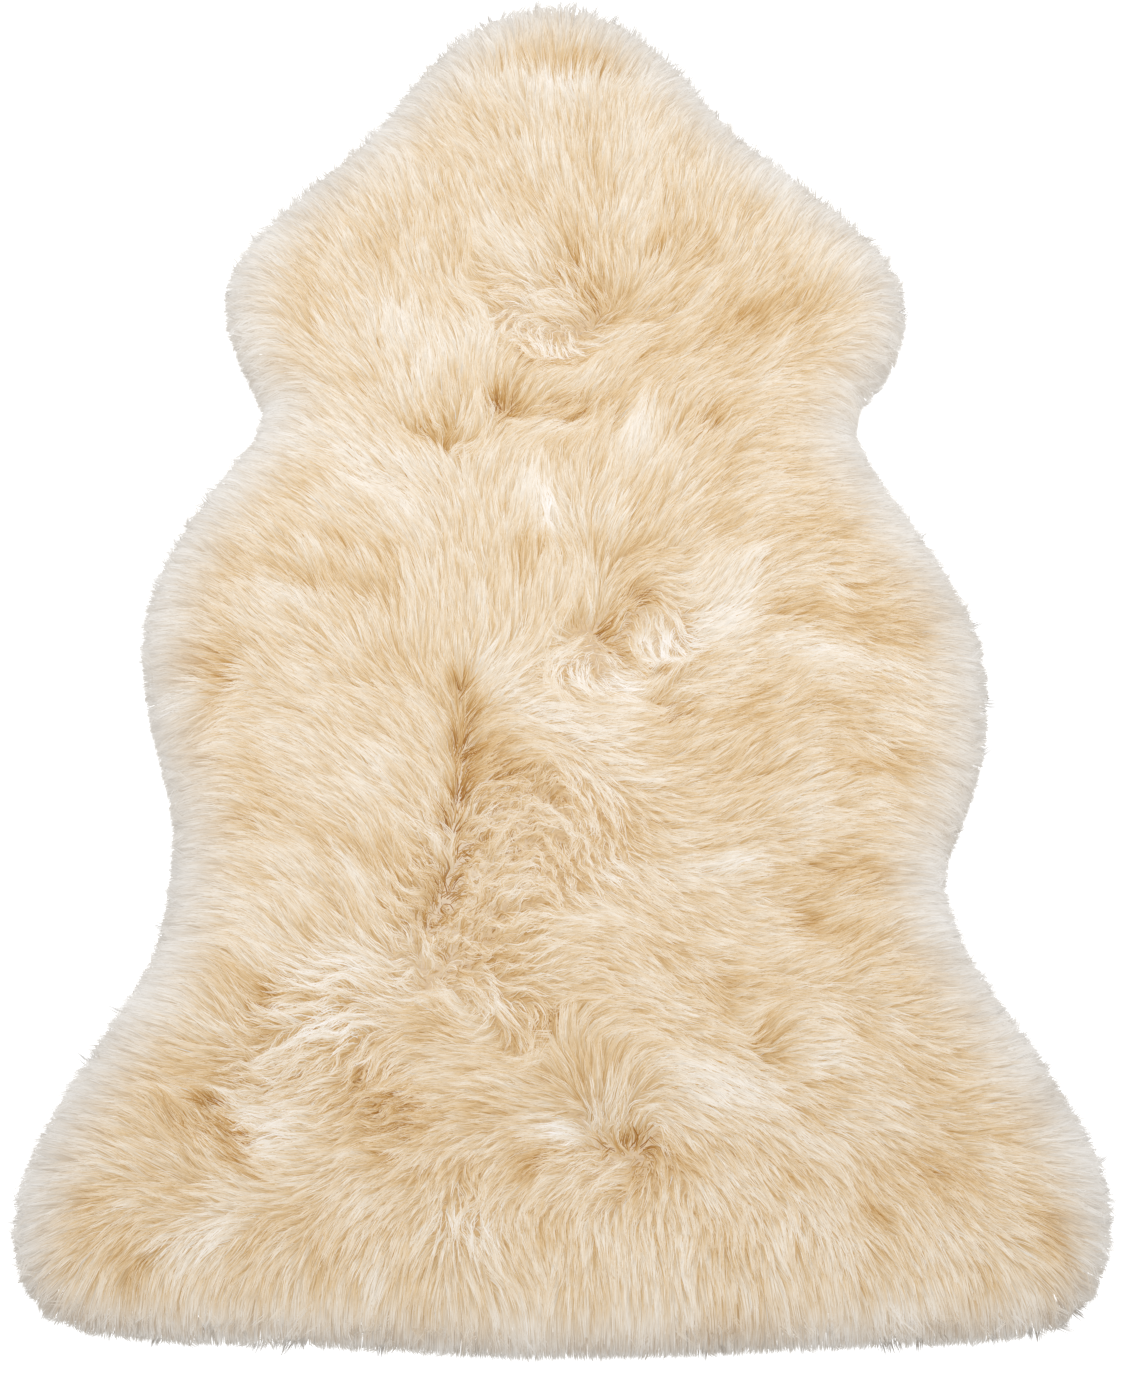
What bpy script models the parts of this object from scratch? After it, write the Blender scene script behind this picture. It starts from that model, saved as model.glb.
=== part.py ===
# Sheepskin rug: one whole wool-on skin lying flat, neck end at +Y, tail edge at -Y, wool side up.
# Metres, +Z up. The origin is on the floor, under the middle of the rug's length and width.
# The wool grows out of the hide, so skin and wool are one solid: flat underneath, where the hide lies on
# the floor, with an uneven outline, a rounded rim of overhanging wool and a softly creased top.

from collections import namedtuple
from math import ceil, cos, exp, radians, sin

import bmesh
import bpy
from mathutils import Vector

# Driving dimensions
RUG_LENGTH = 1.05  # neck end to tail edge, over the wool
RUG_WIDTH = 0.71  # across the hind legs, over the wool
CROWN_HEIGHT = 0.050  # floor to the top of the combed wool, before ridges and hollows

# How finely the solid is cut into faces
OUTLINE_POINTS = 112
STEPS_PER_SPAN = 12
CROWN_RINGS = 13

# The outline, one row for each pair of points across the skin. station is measured from the tail edge
# towards the neck, left and right from the skin's centre line.
OutlineRow = namedtuple("OutlineRow", "name station left right")
OUTLINE = (
    OutlineRow("neck end", 1.042, 0.022, 0.008),
    OutlineRow("neck corner", 1.022, 0.070, 0.050),
    OutlineRow("neck", 0.979, 0.111, 0.092),
    OutlineRow("nape", 0.925, 0.145, 0.130),
    OutlineRow("neck base", 0.870, 0.198, 0.190),
    OutlineRow("shoulder", 0.815, 0.243, 0.241),
    OutlineRow("foreleg", 0.770, 0.251, 0.253),
    OutlineRow("elbow", 0.722, 0.235, 0.239),
    OutlineRow("fore waist", 0.678, 0.217, 0.209),
    OutlineRow("ribs", 0.632, 0.244, 0.225),
    OutlineRow("breast", 0.572, 0.279, 0.260),
    OutlineRow("belly", 0.505, 0.297, 0.291),
    OutlineRow("low belly", 0.430, 0.286, 0.293),
    OutlineRow("flank", 0.372, 0.269, 0.277),
    OutlineRow("hind waist", 0.318, 0.267, 0.257),
    OutlineRow("thigh", 0.258, 0.278, 0.275),
    OutlineRow("hock", 0.190, 0.317, 0.317),
    OutlineRow("hind leg", 0.120, 0.350, 0.350),
    OutlineRow("hind foot", 0.068, 0.356, 0.353),
    OutlineRow("hind corner", 0.024, 0.333, 0.330),
    OutlineRow("tail corner", 0.010, 0.266, 0.278),
    OutlineRow("rump edge", 0.006, 0.150, 0.190),
    OutlineRow("tail edge", 0.000, 0.045, 0.055),
)

# The rim's section, from the floor up over the rounded edge. inset is the distance in from the outline,
# height the share of the crown's height.
RimRow = namedtuple("RimRow", "name inset height")
RIM = (
    RimRow("edge on the floor", 0.010, 0.00),
    RimRow("lower wool", 0.003, 0.10),
    RimRow("widest", 0.000, 0.30),
    RimRow("upper wool", 0.004, 0.52),
    RimRow("rounding", 0.013, 0.74),
    RimRow("rim top", 0.028, 0.91),
    RimRow("crown edge", 0.050, 1.00),
)

# Creases, hollows and ridges in the wool. x and y are the middle, from the origin, heading is the
# direction of the long axis in degrees from +X, and rise is the height gained there, less than 0 in a hollow.
FoldRow = namedtuple("FoldRow", "name x y heading half_length half_width rise")
FOLDS = (
    FoldRow("neck dip", -0.005, 0.440, -2, 0.100, 0.026, -0.007),
    FoldRow("shoulder whorl", -0.008, 0.252, -14, 0.056, 0.025, -0.009),
    FoldRow("right shoulder hollow", 0.104, 0.244, 62, 0.060, 0.028, -0.005),
    FoldRow("back dip", 0.004, 0.150, 10, 0.058, 0.034, -0.006),
    FoldRow("back whorl", 0.050, -0.035, -62, 0.075, 0.028, -0.010),
    FoldRow("parting", -0.071, -0.135, 90, 0.095, 0.025, -0.009),
    FoldRow("parting tail", -0.086, -0.255, 68, 0.055, 0.026, -0.008),
    FoldRow("curled hollow", -0.036, -0.165, 80, 0.055, 0.036, -0.006),
    FoldRow("left flank fold", -0.228, -0.068, 95, 0.078, 0.025, -0.007),
    FoldRow("left thigh hollow", -0.214, -0.380, 100, 0.048, 0.028, -0.009),
    FoldRow("left rump hollow", -0.106, -0.367, 70, 0.042, 0.032, -0.006),
    FoldRow("tail whorl", 0.030, -0.391, 0, 0.062, 0.025, -0.009),
    FoldRow("right flank hollow", 0.158, -0.235, -18, 0.070, 0.038, -0.006),
    FoldRow("right thigh hollow", 0.245, -0.395, 22, 0.062, 0.032, -0.005),
    FoldRow("left shoulder ridge", -0.105, 0.195, -58, 0.075, 0.034, 0.003),
    FoldRow("left rib ridge", -0.120, 0.092, -28, 0.080, 0.036, 0.003),
    FoldRow("right loin ridge", 0.120, -0.080, 8, 0.090, 0.036, 0.003),
    FoldRow("left loin ridge", -0.150, -0.305, 12, 0.070, 0.034, 0.003),
    FoldRow("rump ridge", 0.104, -0.350, 80, 0.060, 0.036, 0.003),
)

# The rings of the crown shrink towards this point, which sees the whole outline.
CROWN_CENTRE = Vector((0.0, -0.085))


def clear_scene():
    for scene_object in list(bpy.data.objects):
        bpy.data.objects.remove(scene_object, do_unlink=True)


def wool_material():
    """Ivory wool: matt, a little golden."""
    material = bpy.data.materials.new("ivory wool")
    material.use_nodes = True
    shader = material.node_tree.nodes["Principled BSDF"]
    shader.inputs["Base Color"].default_value = (0.84, 0.72, 0.53, 1.0)
    shader.inputs["Roughness"].default_value = 0.9
    shader.inputs["Metallic"].default_value = 0.0
    return material


def catmull_rom(before, start, end, after, share):
    """The point a share of the way from start to end on the smooth curve through all four."""
    return 0.5 * (
        2.0 * start
        + (end - before) * share
        + (2.0 * before - 5.0 * start + 4.0 * end - after) * share**2
        + (3.0 * start - before - 3.0 * end + after) * share**3
    )


def outline_corners():
    """The table's points in order round the skin: down its right side and up its left side."""
    right_side = [Vector((row.right, row.station)) for row in OUTLINE]
    left_side = [Vector((-row.left, row.station)) for row in reversed(OUTLINE)]
    return right_side + left_side


def smooth_closed_curve(corners):
    """A fine polygon on the smooth closed curve through the corners."""
    count = len(corners)
    points = []
    for index in range(count):
        around = [corners[(index + offset) % count] for offset in (-1, 0, 1, 2)]
        points += [catmull_rom(*around, step / STEPS_PER_SPAN) for step in range(STEPS_PER_SPAN)]
    return points


def spread_evenly(points, count):
    """The closed polygon cut again into count equal lengths."""
    closed = points + points[:1]
    lengths = [(b - a).length for a, b in zip(closed, closed[1:])]
    spacing = sum(lengths) / count
    spread = []
    walked = 0.0
    for start, end, length in zip(closed, closed[1:], lengths):
        first = ceil(walked / spacing - 1e-9)
        while len(spread) < count and first * spacing < walked + length - 1e-9:
            spread.append(start.lerp(end, (first * spacing - walked) / length))
            first += 1
        walked += length
    return spread


def fit_to_size(points):
    """The outline centred on the origin and stretched to the rug's exact length and width."""
    low_x, high_x = min(p.x for p in points), max(p.x for p in points)
    low_y, high_y = min(p.y for p in points), max(p.y for p in points)
    centre = Vector(((low_x + high_x) / 2, (low_y + high_y) / 2))
    stretch = Vector((RUG_WIDTH / (high_x - low_x), RUG_LENGTH / (high_y - low_y)))
    return [(point - centre) * stretch for point in points]


def inward_normals(points):
    """A unit vector at each point of the clockwise outline, square to it and into the skin."""
    normals = []
    for index, point in enumerate(points):
        along = points[(index + 1) % len(points)] - points[index - 1]
        normals.append(Vector((along.y, -along.x)).normalized())
    return normals


def fold_rise(x, y):
    """How far the creases and ridges lift the wool at a point."""
    rise = 0.0
    for fold in FOLDS:
        turn = radians(fold.heading)
        along = (x - fold.x) * cos(turn) + (y - fold.y) * sin(turn)
        across = (y - fold.y) * cos(turn) - (x - fold.x) * sin(turn)
        rise += fold.rise * exp(-((along / fold.half_length) ** 2) - (across / fold.half_width) ** 2)
    return rise


def add_ring(mesh, flat_points, height_share):
    """A ring of vertices at a share of the crown's height, with the folds fading out towards the floor."""
    ring = []
    for point in flat_points:
        height = (CROWN_HEIGHT + fold_rise(point.x, point.y)) * height_share
        ring.append(mesh.verts.new((point.x, point.y, height)))
    return ring


def join_rings(mesh, outer, inner):
    """A band of quads between two rings of the clockwise outline, facing up and out."""
    for index in range(len(outer)):
        after = (index + 1) % len(outer)
        mesh.faces.new((outer[after], outer[index], inner[index], inner[after]))


def build_sheepskin(collection):
    """The whole skin, lofted from the rim's rings to the crown's centre and closed underneath."""
    outline = fit_to_size(spread_evenly(smooth_closed_curve(outline_corners()), OUTLINE_POINTS))
    normals = inward_normals(outline)
    mesh = bmesh.new()

    rings = []
    for rim in RIM:
        inset_points = [point + normal * rim.inset for point, normal in zip(outline, normals)]
        rings.append(add_ring(mesh, inset_points, rim.height))
    for step in range(1, CROWN_RINGS):
        shrink = step / CROWN_RINGS
        rings.append(add_ring(mesh, [point.lerp(CROWN_CENTRE, shrink) for point in inset_points], 1.0))
    for outer, inner in zip(rings, rings[1:]):
        join_rings(mesh, outer, inner)

    centre = add_ring(mesh, [CROWN_CENTRE], 1.0)[0]
    innermost = rings[-1]
    for index in range(OUTLINE_POINTS):
        mesh.faces.new((innermost[(index + 1) % OUTLINE_POINTS], innermost[index], centre))
    mesh.faces.new(rings[0])

    data = bpy.data.meshes.new("sheepskin")
    mesh.to_mesh(data)
    mesh.free()
    data.materials.append(wool_material())
    data.shade_smooth()
    data.set_sharp_from_angle(angle=radians(50))
    skin = bpy.data.objects.new("sheepskin", data)
    collection.objects.link(skin)
    return skin


def main():
    clear_scene()
    collection = bpy.data.collections.new("sheepskin rug")
    bpy.context.scene.collection.children.link(collection)
    build_sheepskin(collection)


main()
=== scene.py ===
# Sheepskin rug: a whole wool-on skin lying flat. A suede hide carries a woolly undercoat, and combed
# wool fibres in pointed locks lie over it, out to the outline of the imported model.
import math

import bmesh
import bpy
import numpy as np
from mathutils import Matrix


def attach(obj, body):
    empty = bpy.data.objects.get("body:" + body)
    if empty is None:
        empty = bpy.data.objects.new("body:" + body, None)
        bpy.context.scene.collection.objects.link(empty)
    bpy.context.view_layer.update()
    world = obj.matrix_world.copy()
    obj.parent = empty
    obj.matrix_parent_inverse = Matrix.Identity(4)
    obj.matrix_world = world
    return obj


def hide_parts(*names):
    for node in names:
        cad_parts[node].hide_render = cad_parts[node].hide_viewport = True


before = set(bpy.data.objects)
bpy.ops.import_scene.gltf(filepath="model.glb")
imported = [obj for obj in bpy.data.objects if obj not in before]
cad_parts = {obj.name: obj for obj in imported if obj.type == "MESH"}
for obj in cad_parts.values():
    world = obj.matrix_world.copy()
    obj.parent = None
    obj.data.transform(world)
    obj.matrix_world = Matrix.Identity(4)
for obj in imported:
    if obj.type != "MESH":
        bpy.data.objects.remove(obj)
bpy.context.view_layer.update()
print("frame loaded")

mm = 0.001
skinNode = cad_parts["sheepskin"]
skinMiddle = (0.0, -0.085)  # a point that sees the whole outline


def hexColour(code):
    # sRGB hex to the linear colour that Blender's sockets want
    parts = [int(code[i:i + 2], 16) / 255 for i in (1, 3, 5)]
    return tuple(c / 12.92 if c <= 0.04045 else ((c + 0.055) / 1.055) ** 2.4 for c in parts) + (1.0,)


def addNode(tree, kind, settings=None, links=None):
    # one node; a link is a socket to join to or a value to set. Gives the node's first output
    node = tree.nodes.new(kind)
    for key, value in (settings or {}).items():
        setattr(node, key, value)
    shown = [socket for socket in node.inputs if socket.enabled]
    for key, value in (links or {}).items():
        socket = shown[key] if isinstance(key, int) else next(s for s in shown if s.name == key)
        if isinstance(value, bpy.types.NodeSocket):
            tree.links.new(value, socket)
        else:
            socket.default_value = value
    return next(socket for socket in node.outputs if socket.enabled)


def newObject(name, mesh):
    thing = bpy.data.objects.new(name, mesh)
    bpy.context.scene.collection.objects.link(thing)
    return thing


def bakedMesh(thing, name):
    # what an object's modifiers make of it, as a plain mesh
    bpy.context.view_layer.update()
    evaluated = thing.evaluated_get(bpy.context.evaluated_depsgraph_get())
    mesh = bpy.data.meshes.new_from_object(evaluated)
    mesh.name = name
    return mesh


def readVectors(collection, field):
    values = np.empty(len(collection) * 3, np.float32)
    collection.foreach_get(field, values)
    return values.reshape(-1, 3).astype(float)


def smoothStep(edge0, edge1, values):
    share = np.clip((values - edge0) / (edge1 - edge0), 0, 1)
    return share * share * (3 - 2 * share)


def unit(vectors):
    return vectors / np.maximum(np.linalg.norm(vectors, axis=-1, keepdims=True), 1e-9)


# the undercoat, and the surface of the same shape that the long wool grows from
undercoatSpec = {
    "pileDepth": 16 * mm,    # the combed wool lies this far over the undercoat
    "rimDepth": 8 * mm,      # and this far round the sides
    "tailDepth": 5 * mm,     # and this much more at the tail, whose wool hangs forward
    "floorGap": 2.6 * mm,    # the undercoat stands on the hide
    "growGrain": 3 * mm,     # grain of the surface that the wool grows from
    "shownDrop": 2 * mm,     # the undercoat itself lies this much lower than that
    "shownGrain": 12 * mm,   # grain of the undercoat itself, which hardly shows
    "softening": 4,          # times that the even grain is smoothed
    "weldReach": 0.01 * mm,  # corners of the CAD mesh nearer than this are one
}


def shrunkSkin(name, grain, depth):
    # the skin's solid with an even grain, drawn in by the pile's depth on top and round the sides.
    # The CAD mesh is loose triangles, so its copy is merged first
    mesh = skinNode.data.copy()
    work = bmesh.new()
    work.from_mesh(mesh)
    bmesh.ops.remove_doubles(work, verts=work.verts, dist=undercoatSpec["weldReach"])
    work.to_mesh(mesh)
    work.free()
    mesh.materials.clear()
    thing = newObject(name, mesh)
    remesh = thing.modifiers.new("even grain", "REMESH")
    remesh.mode = "VOXEL"
    remesh.voxel_size = grain
    soften = thing.modifiers.new("soften", "SMOOTH")
    soften.iterations = undercoatSpec["softening"]
    mesh = bakedMesh(thing, name)
    thing.modifiers.clear()
    thing.data = mesh
    points = readVectors(mesh.vertices, "co")
    normals = readVectors(mesh.vertex_normals, "vector")
    rimDepth = depth - undercoatSpec["pileDepth"] + undercoatSpec["rimDepth"]
    tailDepth = undercoatSpec["tailDepth"] * np.maximum(-normals[:, 1:2], 0)
    points[:, :2] -= normals[:, :2] * (rimDepth + tailDepth)
    points[:, 2] -= np.maximum(normals[:, 2], 0) * depth
    points[:, 2] = np.maximum(points[:, 2], undercoatSpec["floorGap"])
    mesh.vertices.foreach_set("co", points.astype(np.float32).ravel())
    mesh.update()
    return thing


edgeSpec = {
    "onFloor": 0.1 * mm,     # corners of the solid lower than this are on the floor
    "decimals": 5,           # corners that are the same to so many decimals of a metre are one
    "bendReach": 7 * mm,     # over this the way out turns smoothly where the edge bends in
}


def floorRing():
    # the skin's edge where it meets the floor, counter-clockwise
    points = readVectors(skinNode.data.vertices, "co")
    low = points[points[:, 2] < edgeSpec["onFloor"]][:, :2]
    ring = np.unique(np.round(low, edgeSpec["decimals"]), axis=0)
    turn = np.arctan2(ring[:, 1] - skinMiddle[1], ring[:, 0] - skinMiddle[0])
    return ring[np.argsort(turn)]


edgeRing = floorRing()


def insetFromEdge(points):
    # how far in from the floor ring each point is, less than 0 outside it, and the way out, which turns
    # smoothly where the ring bends in
    distance = np.full(len(points), np.inf)
    outward = np.zeros((len(points), 2))
    crossings = np.zeros(len(points), int)
    x, y = points.T
    for start, end in zip(edgeRing, np.roll(edgeRing, -1, axis=0)):
        step = end - start
        share = np.clip(((points - start) @ step) / (step @ step), 0, 1)
        here = np.hypot(*(points - (start + share[:, None] * step)).T)
        outward += np.array((step[1], -step[0])) / (here[:, None] ** 2 + edgeSpec["bendReach"] ** 2) ** 2
        distance = np.minimum(distance, here)
        level = (start[1] > y) != (end[1] > y)
        crossings += level & (x < start[0] + (y - start[1]) * step[0] / (step[1] or 1e-9))
    return np.where(crossings % 2 == 1, distance, -distance), unit(outward)


cameraSpec = {
    "location": (0.00025, -0.9863, 1.9939),  # metres, set so that the outline lies over the photo's
    "elevation": 65.0,       # degrees above the floor
    "lens": 99.54,           # mm
    "sensorWidth": 36.0,     # mm
    "farthest": 20,          # metres that it sees
}

# How the wool is combed, read from the photo, region by region. Each stroke is a place in the
# photo, in pixels across and down, and the way the tips point there, in degrees anticlockwise from the
# right
combStrokes = {
    "neck": (
        (450, 60, 118), (420, 90, 138), (500, 60, 103), (560, 50, 90), (620, 60, 68), (680, 80, 40),
        (420, 120, 147), (460, 130, 136), (510, 130, 118), (560, 130, 103), (610, 150, 76),
        (700, 150, 70), (745, 170, 60), (400, 200, 122), (430, 225, 106), (450, 275, 92),
    ),
    "shoulder fan": (
        (470, 250, 100), (500, 250, 146), (530, 225, 128), (555, 240, 113), (580, 230, 98),
        (612, 235, 75), (640, 210, 64), (680, 200, 78), (740, 240, 58), (720, 290, 28), (670, 300, 28),
        (600, 275, 85), (560, 275, 125), (630, 280, 50),
    ),
    "shoulder whorl": (
        (500, 305, 180), (550, 315, 182), (510, 322, 225), (600, 320, 15), (640, 320, 5), (500, 345, 60),
        (560, 350, 75), (620, 342, -10), (590, 375, 57), (540, 380, 50), (500, 385, 72),
    ),
    "left shoulder": (
        (240, 290, 165), (260, 250, 150), (300, 220, 140), (345, 215, 132), (300, 270, 146),
        (355, 280, 130), (400, 280, 113), (250, 320, 158), (290, 345, 148), (260, 385, 168),
        (300, 400, 164), (330, 330, 132), (375, 330, 119), (425, 330, 107), (340, 380, 148),
        (470, 400, 92),
    ),
    "left ribs": (
        (350, 430, 150), (290, 450, 164), (380, 420, 138), (415, 390, 104), (410, 430, 120),
        (400, 460, 142), (445, 470, 122), (480, 430, 80), (240, 470, 153), (300, 480, 150),
        (355, 480, 147), (400, 490, 160), (430, 485, 140), (465, 500, 108), (280, 525, 148),
        (220, 535, 160), (330, 530, 133), (385, 530, 142), (420, 530, 138), (455, 555, 96),
    ),
    "left belly": (
        (200, 560, 165), (170, 600, 170), (250, 560, 150), (300, 590, 136), (350, 580, 127),
        (400, 590, 118), (440, 600, 105), (480, 600, 88), (455, 635, 95), (160, 650, 178),
        (170, 700, 184), (180, 740, 192), (200, 660, 168), (240, 690, 205), (200, 715, 222),
        (270, 665, 143), (300, 690, 155), (270, 725, 168), (350, 700, 158), (400, 700, 142),
        (370, 740, 155), (430, 705, 128), (440, 750, 115), (180, 770, 180), (250, 780, 170),
        (310, 780, 158), (360, 790, 149), (410, 790, 136),
    ),
    "middle back": (
        (520, 430, 20), (560, 415, 12), (600, 410, 48), (640, 370, 30), (650, 430, 76), (610, 450, 70),
        (560, 480, 78), (520, 480, 82), (650, 480, 58), (560, 500, 118), (575, 540, 128), (530, 530, 78),
        (510, 560, 90), (490, 500, 98), (600, 500, 64), (640, 505, 55), (660, 530, 50), (570, 580, 90),
        (540, 600, 85), (510, 620, 92), (550, 630, 78), (600, 545, 72), (525, 655, 40), (500, 670, 22),
    ),
    "back whorl": (
        (612, 575, 58), (628, 565, 30), (652, 572, -20), (665, 590, 65), (690, 600, 60), (740, 575, 36),
        (625, 605, 105), (610, 640, -62), (632, 690, -48), (655, 640, 115), (680, 622, 100),
        (692, 645, 50), (700, 620, 22), (575, 665, 75), (590, 690, 28), (560, 680, -40), (655, 705, 50),
        (680, 695, 30), (672, 730, 25),
    ),
    "right shoulder": (
        (800, 220, 62), (850, 235, 48), (885, 270, 28), (900, 300, 12), (840, 275, 44), (795, 280, 54),
        (860, 320, 12), (885, 345, 3), (825, 330, 22), (770, 325, 36), (700, 360, 25), (760, 365, 15),
        (810, 370, 8), (850, 375, -10), (840, 405, -25), (800, 410, -3), (850, 450, -8), (755, 405, 8),
        (700, 395, 34), (710, 435, 45), (680, 420, 60), (750, 450, 0), (700, 470, 25), (750, 485, 0),
        (800, 490, 2),
    ),
    "right ribs": (
        (720, 520, 22), (740, 550, 26), (720, 570, 40), (780, 510, -3), (850, 500, -5), (800, 545, 3),
        (870, 540, -8), (770, 565, 20), (845, 570, -26), (900, 530, -10), (890, 570, -5), (790, 592, 8),
        (825, 592, -36), (945, 560, -5), (760, 612, 26), (800, 612, -5), (845, 625, -26),
        (890, 612, -13), (900, 645, -32), (940, 620, -13), (740, 610, 30),
    ),
    "right belly": (
        (940, 665, -5), (900, 670, -30), (860, 660, -16), (815, 655, -12), (760, 650, 10), (740, 680, 5),
        (790, 690, 18), (830, 685, -20), (865, 710, -28), (895, 715, -30), (870, 740, -38),
        (940, 705, -4), (965, 745, -8), (925, 745, -22), (900, 770, -30), (850, 775, -2), (815, 750, 6),
        (780, 740, 14), (730, 715, 8), (740, 755, 30), (780, 775, 20), (715, 790, 26), (700, 740, 12),
        (690, 700, 25),
    ),
    "right of parting": (
        (480, 690, 14), (500, 720, 4), (475, 745, -8), (490, 770, 12), (540, 700, 6), (535, 725, -22),
        (560, 735, -32), (590, 700, -2), (600, 720, -10), (640, 735, -6), (600, 745, -18),
        (570, 765, -60), (590, 785, -78), (545, 775, 45), (610, 790, -68), (620, 762, -16),
        (655, 770, -8), (700, 785, 4),
    ),
    "curly back": (
        (475, 812, -6), (440, 840, -30), (500, 800, 10), (520, 790, -20), (520, 830, 8), (480, 850, -35),
        (520, 862, 5), (560, 805, -58), (470, 885, -15), (540, 885, -20), (495, 900, 8), (580, 840, -80),
        (610, 835, -70), (650, 835, -45), (680, 822, -12), (555, 870, -72), (575, 890, -40),
        (605, 865, -58), (470, 920, 0), (520, 920, 4), (425, 890, -30), (440, 930, -20),
    ),
    "spine": (
        (640, 870, -44), (660, 850, -25), (700, 850, 3), (720, 862, 15), (570, 930, -4), (600, 950, -22),
        (640, 930, -45), (690, 910, -34), (700, 885, -18), (540, 960, 4), (620, 970, -34),
        (670, 970, -42), (520, 985, -8), (580, 985, -6), (500, 960, 8), (460, 985, -40), (490, 992, -62),
        (410, 965, 200), (425, 955, 120), (440, 975, -70),
    ),
    "left flank": (
        (180, 820, 180), (230, 820, 176), (290, 835, 165), (340, 820, 155), (350, 845, 140),
        (400, 830, 125), (430, 815, 118), (385, 860, 112), (370, 890, 126), (330, 895, 140),
        (300, 870, 151), (250, 870, 170), (200, 900, 180), (265, 895, 164), (310, 925, 135),
        (360, 925, 126), (400, 925, 135), (275, 950, 140), (240, 930, 166), (190, 935, 180),
        (150, 965, 184), (200, 965, 178), (255, 975, 136), (300, 975, 166), (345, 965, 175),
        (385, 965, 150),
    ),
    "left loin": (
        (240, 995, 128), (210, 1020, 152), (150, 1010, 176), (180, 1050, 166), (290, 1005, 188),
        (340, 1005, 182), (390, 1000, 172), (330, 1030, 200), (290, 1055, 226), (340, 1065, 232),
        (375, 1060, 238), (400, 1040, 205), (420, 1010, 175), (455, 1010, 142), (445, 1030, 178),
        (480, 1030, 156), (500, 1060, 166), (450, 1060, 184), (230, 1050, 182),
    ),
    "left thigh": (
        (110, 1060, 176), (90, 1100, 181), (150, 1090, 172), (200, 1070, 178), (235, 1085, 166),
        (165, 1120, 142), (215, 1125, 150), (250, 1110, 172), (280, 1090, 196), (300, 1120, 190),
        (330, 1100, 226), (120, 1130, 165), (75, 1140, 176), (150, 1155, 163), (200, 1155, 153),
        (230, 1170, 156), (270, 1150, 179), (320, 1150, 192), (360, 1140, 212), (70, 1175, 200),
        (110, 1180, 192), (45, 1210, 210), (100, 1210, 208), (160, 1195, 184), (220, 1200, 190),
        (270, 1190, 186), (310, 1190, 214), (350, 1185, 222),
    ),
    "left hind leg": (
        (50, 1245, 218), (90, 1240, 230), (130, 1230, 232), (70, 1285, 235), (110, 1280, 252),
        (150, 1275, 258), (190, 1245, 236), (230, 1220, 210), (250, 1250, 230), (210, 1285, 250),
        (270, 1235, 226), (280, 1285, 258), (320, 1240, 246), (340, 1285, 260), (380, 1240, 242),
        (390, 1280, 250), (100, 1315, 262), (200, 1320, 267), (300, 1320, 267),
    ),
    "rump": (
        (380, 1095, 228), (405, 1075, 210), (420, 1105, 172), (400, 1130, 196), (430, 1140, 215),
        (370, 1120, 206), (450, 1100, 184), (490, 1085, 180), (535, 1065, 168), (540, 1100, 178),
        (470, 1140, 206), (500, 1140, 216), (520, 1120, 192), (440, 1170, 240), (465, 1175, 285),
        (500, 1170, 232), (480, 1205, 252), (400, 1190, 232), (420, 1230, 246), (360, 1210, 236),
        (515, 1015, -62), (545, 1030, -100), (530, 1045, -75),
    ),
    "tail whorl": (
        (560, 1030, 90), (600, 1020, 8), (650, 1020, -26), (690, 1030, -34), (570, 1065, 122),
        (582, 1080, 104), (600, 1070, 78), (622, 1065, 50), (645, 1060, 20), (665, 1075, -12),
        (690, 1085, -30), (555, 1090, 160), (575, 1105, 178), (615, 1100, 62), (645, 1095, 22),
        (665, 1105, -35), (690, 1115, -52), (570, 1135, 206), (600, 1115, 92), (640, 1125, 75),
        (665, 1140, -72), (560, 1160, 200), (600, 1162, 205), (540, 1175, 232), (580, 1190, 234),
        (625, 1178, 222), (640, 1190, 252), (665, 1175, -92), (690, 1150, -66), (715, 1180, -68),
    ),
    "tail edge": (
        (515, 1220, -78), (475, 1235, -72), (500, 1255, -56), (525, 1270, -56), (545, 1235, -72),
        (435, 1265, 250), (455, 1275, -82), (480, 1300, -64), (520, 1305, -68), (575, 1250, 265),
        (620, 1240, 270), (660, 1220, 270), (700, 1225, 270), (560, 1300, 262), (620, 1300, 268),
        (680, 1290, 273), (730, 1250, 272), (420, 1310, 265), (740, 1300, 272),
    ),
    "right flank": (
        (700, 800, 10), (735, 805, 18), (765, 795, 22), (820, 795, -2), (880, 795, -16), (940, 800, -14),
        (770, 830, -14), (720, 835, 8), (820, 835, -4), (890, 830, -5), (945, 840, -8), (750, 860, 6),
        (790, 875, 0), (850, 875, 4), (900, 890, 0), (720, 895, -24), (720, 925, -32), (760, 915, -10),
        (795, 920, 0), (840, 940, 14), (880, 930, 12), (925, 920, -2), (720, 955, -24), (750, 970, -4),
        (800, 960, 5), (850, 960, 12), (900, 970, 6), (945, 975, -6),
    ),
    "right loin": (
        (700, 990, -46), (750, 990, 3), (810, 990, -6), (870, 990, -3), (930, 990, 2), (970, 1010, -10),
        (690, 1010, -28), (715, 1030, -42), (760, 1035, 34), (790, 1035, 10), (740, 1060, -32),
        (700, 1060, -34), (780, 1070, -18), (820, 1050, -5), (855, 1020, -36), (880, 1045, -32),
        (920, 1030, -14), (870, 1070, -30), (930, 1060, -26), (980, 1050, 0), (1020, 1080, -2),
        (830, 1085, -22),
    ),
    "right thigh": (
        (720, 1100, -32), (760, 1105, -18), (800, 1110, -34), (850, 1110, -32), (900, 1085, -24),
        (900, 1120, -34), (960, 1090, -3), (960, 1125, -8), (1010, 1110, 0), (1050, 1115, 4),
        (860, 1140, -44), (810, 1145, -42), (750, 1145, -48), (1060, 1150, -12), (1000, 1155, -24),
        (940, 1155, -36), (880, 1175, -54), (930, 1185, -46), (990, 1190, -42), (1045, 1195, -24),
        (1090, 1190, -16),
    ),
    "right hind leg": (
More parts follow.
